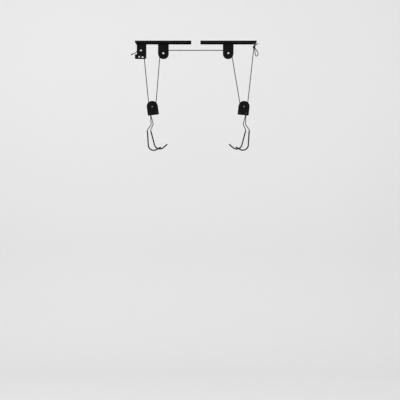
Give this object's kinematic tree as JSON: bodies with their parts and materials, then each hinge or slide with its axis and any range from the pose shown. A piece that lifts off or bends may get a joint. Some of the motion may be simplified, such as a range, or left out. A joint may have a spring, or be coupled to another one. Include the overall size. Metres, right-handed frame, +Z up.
{
  "type": "ceiling bicycle hoist",
  "caption": "Ceiling hoist: folded channel rails with hanging sheaves and a roller lock, a reeved rope, and hook blocks whose coated wire hooks lift a bicycle",
  "frame": {"origin": "in the ceiling plane, midway between the two rails and midway between the two outer screw holes, on the rails' centre line", "axes": "+X along the rails towards the rope's tied end, +Y across the rails away from the viewer, +Z up into the ceiling"},
  "size_m": [0.798, 0.0596, 0.6848],
  "materials": {
    "rail_black": "satin black powder coat",
    "hanger_black": "satin black powder coat",
    "cheek_black": "satin black powder coat",
    "axle_zinc": "bright zinc plate",
    "block_zinc": "dull zinc plate",
    "pin_black": "black oxide",
    "roller_steel": "dark knurled steel",
    "sheave_nylon": "moulded black nylon",
    "hook_wire": "zinc plated wire",
    "grip_vinyl": "dipped black vinyl",
    "rope_braid": "charcoal braided cord",
    "rope_seal": "melted and sealed end"
  },
  "bodies": {
    "ceiling_frame": {"lock_rail": "rail_black", "anchor_rail": "rail_black", "lock_bracket": "hanger_black", "left_pulley_bracket": "hanger_black", "right_pulley_bracket": "hanger_black", "bracket_rivets": "pin_black", "lock_axle": "axle_zinc", "left_pulley_axle": "axle_zinc", "right_pulley_axle": "axle_zinc", "lock_anvil": "pin_black", "rope_lock_fall": "rope_braid", "rope_left_fall": "rope_braid", "rope_right_fall": "rope_braid", "rope_anchor_fall": "rope_braid", "rope_span": "rope_braid", "rope_tail": "rope_braid", "rope_end_sleeve": "rope_seal", "rope_tie_loop": "rope_braid", "rope_knot": "rope_braid", "rope_bow": "rope_braid"},
    "lock_roller": {"lock_roller": "roller_steel"},
    "left_bight": {"rope_left_bight": "rope_braid"},
    "left_block": {"left_block_front_cheek": "cheek_black", "left_block_rear_cheek": "cheek_black", "left_block_axle": "block_zinc", "left_block_hook_pin": "pin_black", "left_block_spacer": "pin_black"},
    "left_block_wheel": {"left_block_sheave": "sheave_nylon"},
    "left_front_hook_swing": {"left_front_hook": "hook_wire", "left_front_grip": "grip_vinyl"},
    "left_rear_hook_swing": {"left_rear_hook": "hook_wire", "left_rear_grip": "grip_vinyl"},
    "right_bight": {"rope_right_bight": "rope_braid"},
    "right_block": {"right_block_front_cheek": "cheek_black", "right_block_rear_cheek": "cheek_black", "right_block_axle": "block_zinc", "right_block_hook_pin": "pin_black", "right_block_spacer": "pin_black"},
    "right_block_wheel": {"right_block_sheave": "sheave_nylon"},
    "right_front_hook_swing": {"right_front_hook": "hook_wire", "right_front_grip": "grip_vinyl"},
    "right_rear_hook_swing": {"right_rear_hook": "hook_wire", "right_rear_grip": "grip_vinyl"},
    "left_pulley_wheel": {"left_pulley_sheave": "sheave_nylon"},
    "right_pulley_wheel": {"right_pulley_sheave": "sheave_nylon"},
    "lock_wheel": {"lock_sheave": "sheave_nylon"}
  },
  "joints": [
    {"name": "left_block_lift", "type": "slide", "parent": "ceiling_frame", "child": "left_bight", "axis": [0, 0, 1], "range_m": [0, 0.25], "deforming": ["rope_lock_fall", "rope_left_fall"]},
    {"name": "right_block_lift", "type": "slide", "parent": "ceiling_frame", "child": "right_bight", "axis": [0, 0, 1], "range_m": [0, 0.25], "deforming": ["rope_right_fall", "rope_anchor_fall"]},
    {"name": "left_block_tilt", "type": "hinge", "parent": "left_bight", "child": "left_block", "pos_m": [-0.2715, 0, -0.4095], "axis": [0, -1, 0], "range_deg": [-20, 20]},
    {"name": "left_block_spin", "type": "hinge", "parent": "left_block", "child": "left_block_wheel", "pos_m": [-0.2715, 0, -0.4095], "axis": [0, 1, 0], "continuous": true},
    {"name": "left_front_hook_swing", "type": "hinge", "parent": "left_block", "child": "left_front_hook_swing", "pos_m": [-0.28369, -0.0047, -0.45095], "axis": [0, -1, 0], "range_deg": [-75, 60]},
    {"name": "left_rear_hook_swing", "type": "hinge", "parent": "left_block", "child": "left_rear_hook_swing", "pos_m": [-0.28369, 0.0047, -0.45095], "axis": [0, -1, 0], "range_deg": [-75, 60]},
    {"name": "right_block_tilt", "type": "hinge", "parent": "right_bight", "child": "right_block", "pos_m": [0.301, 0, -0.4095], "axis": [0, 1, 0], "range_deg": [-20, 20]},
    {"name": "right_block_spin", "type": "hinge", "parent": "right_block", "child": "right_block_wheel", "pos_m": [0.301, 0, -0.4095], "axis": [0, 1, 0], "continuous": true},
    {"name": "right_front_hook_swing", "type": "hinge", "parent": "right_block", "child": "right_front_hook_swing", "pos_m": [0.31428, -0.0047, -0.45061], "axis": [0, 1, 0], "range_deg": [-75, 60]},
    {"name": "right_rear_hook_swing", "type": "hinge", "parent": "right_block", "child": "right_rear_hook_swing", "pos_m": [0.31428, 0.0047, -0.45061], "axis": [0, 1, 0], "range_deg": [-75, 60]},
    {"name": "left_pulley_spin", "type": "hinge", "parent": "ceiling_frame", "child": "left_pulley_wheel", "pos_m": [-0.2025, 0, -0.077], "axis": [0, 1, 0], "continuous": true},
    {"name": "right_pulley_spin", "type": "hinge", "parent": "ceiling_frame", "child": "right_pulley_wheel", "pos_m": [0.2025, 0, -0.077], "axis": [0, 1, 0], "continuous": true},
    {"name": "lock_spin", "type": "hinge", "parent": "ceiling_frame", "child": "lock_wheel", "pos_m": [-0.342, 0, -0.0595], "axis": [0, 1, 0], "continuous": true},
    {"name": "lock_roller_slide", "type": "slide", "parent": "ceiling_frame", "child": "lock_roller", "axis": [0.9903, 0, -0.1392], "range_m": [-0.011, 0.0134]}
  ],
  "couplings": [
    {"joint": "right_block_lift", "follows": "left_block_lift", "ratio": 1},
    {"joint": "left_block_spin", "follows": "left_block_lift", "rad_per_m": 142.86},
    {"joint": "right_block_spin", "follows": "left_block_lift", "rad_per_m": 47.619},
    {"joint": "left_pulley_spin", "follows": "left_block_lift", "rad_per_m": -95.238},
    {"joint": "right_pulley_spin", "follows": "left_block_lift", "rad_per_m": -95.238},
    {"joint": "lock_spin", "follows": "left_block_lift", "rad_per_m": -258.06}
  ]
}
